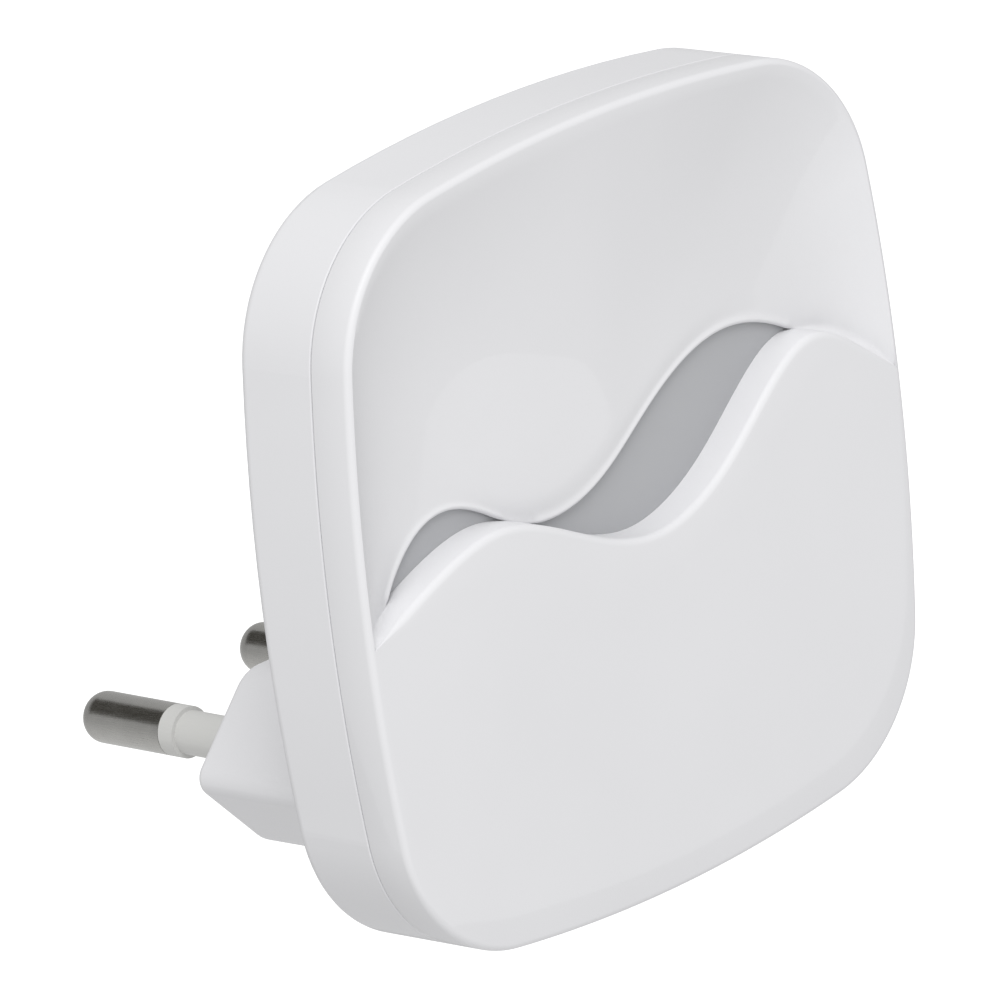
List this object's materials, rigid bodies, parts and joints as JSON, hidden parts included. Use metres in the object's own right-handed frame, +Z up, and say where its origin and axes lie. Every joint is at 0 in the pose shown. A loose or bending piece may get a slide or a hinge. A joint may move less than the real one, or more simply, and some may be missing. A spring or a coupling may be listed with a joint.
{
  "type": "plug-in night light",
  "caption": "Slim rounded-square plug-in night light with a wavy light slot across its front and a flat two-pin plug low on its back.",
  "frame": {"origin": "centre of the plug's end face, midway between the two contact pins", "axes": "+Y along the pins into the socket, so the front faces -Y; +Z up; +X to the right as seen from the front"},
  "size_m": [0.0602, 0.0505, 0.0592],
  "materials": {
    "case_white": "fine, nearly smooth matt moulding in cool white",
    "inner_plastic": "plain matt moulding",
    "frosted_panel": "translucent smoke-grey panel with a soft sheen",
    "reflector_white": "smooth reflective white",
    "board_laminate": "green solder-masked glass laminate",
    "capacitor_box": "red boxed film capacitor",
    "capacitor_can": "bare can",
    "resistor_body": "flameproof lacquer",
    "screw_steel": "zinc-plated",
    "strip_brass": "bare spring brass",
    "led_package": "white package with a pale yellow well",
    "chip_black": "black moulded package",
    "sensor_clear": "dark clear package",
    "chip_resistor": "black-glazed ceramic chip",
    "pin_nickel": "satin nickel plating, finely turned",
    "sleeve_plastic": "matt light-grey white insulation"
  },
  "bodies": {
    "root": {"front_cover": "case_white", "rear_housing": "case_white", "pin_carrier": "inner_plastic", "light_panel": "frosted_panel", "reflector_frame": "reflector_white", "circuit_board": "board_laminate", "film_capacitor": "capacitor_box", "smoothing_capacitor": "capacitor_can", "fusible_resistor": "resistor_body", "board_screws": "screw_steel", "contact_strip_left": "strip_brass", "contact_strip_right": "strip_brass", "led_1": "led_package", "led_2": "led_package", "led_3": "led_package", "led_4": "led_package", "bridge_rectifier": "chip_black", "control_transistor": "chip_black", "light_sensor": "sensor_clear", "discharge_resistor": "chip_resistor", "ballast_resistor": "chip_resistor", "contact_pin_left": "pin_nickel", "contact_pin_right": "pin_nickel", "pin_sleeve_left": "sleeve_plastic", "pin_sleeve_right": "sleeve_plastic"}
  },
  "joints": []
}
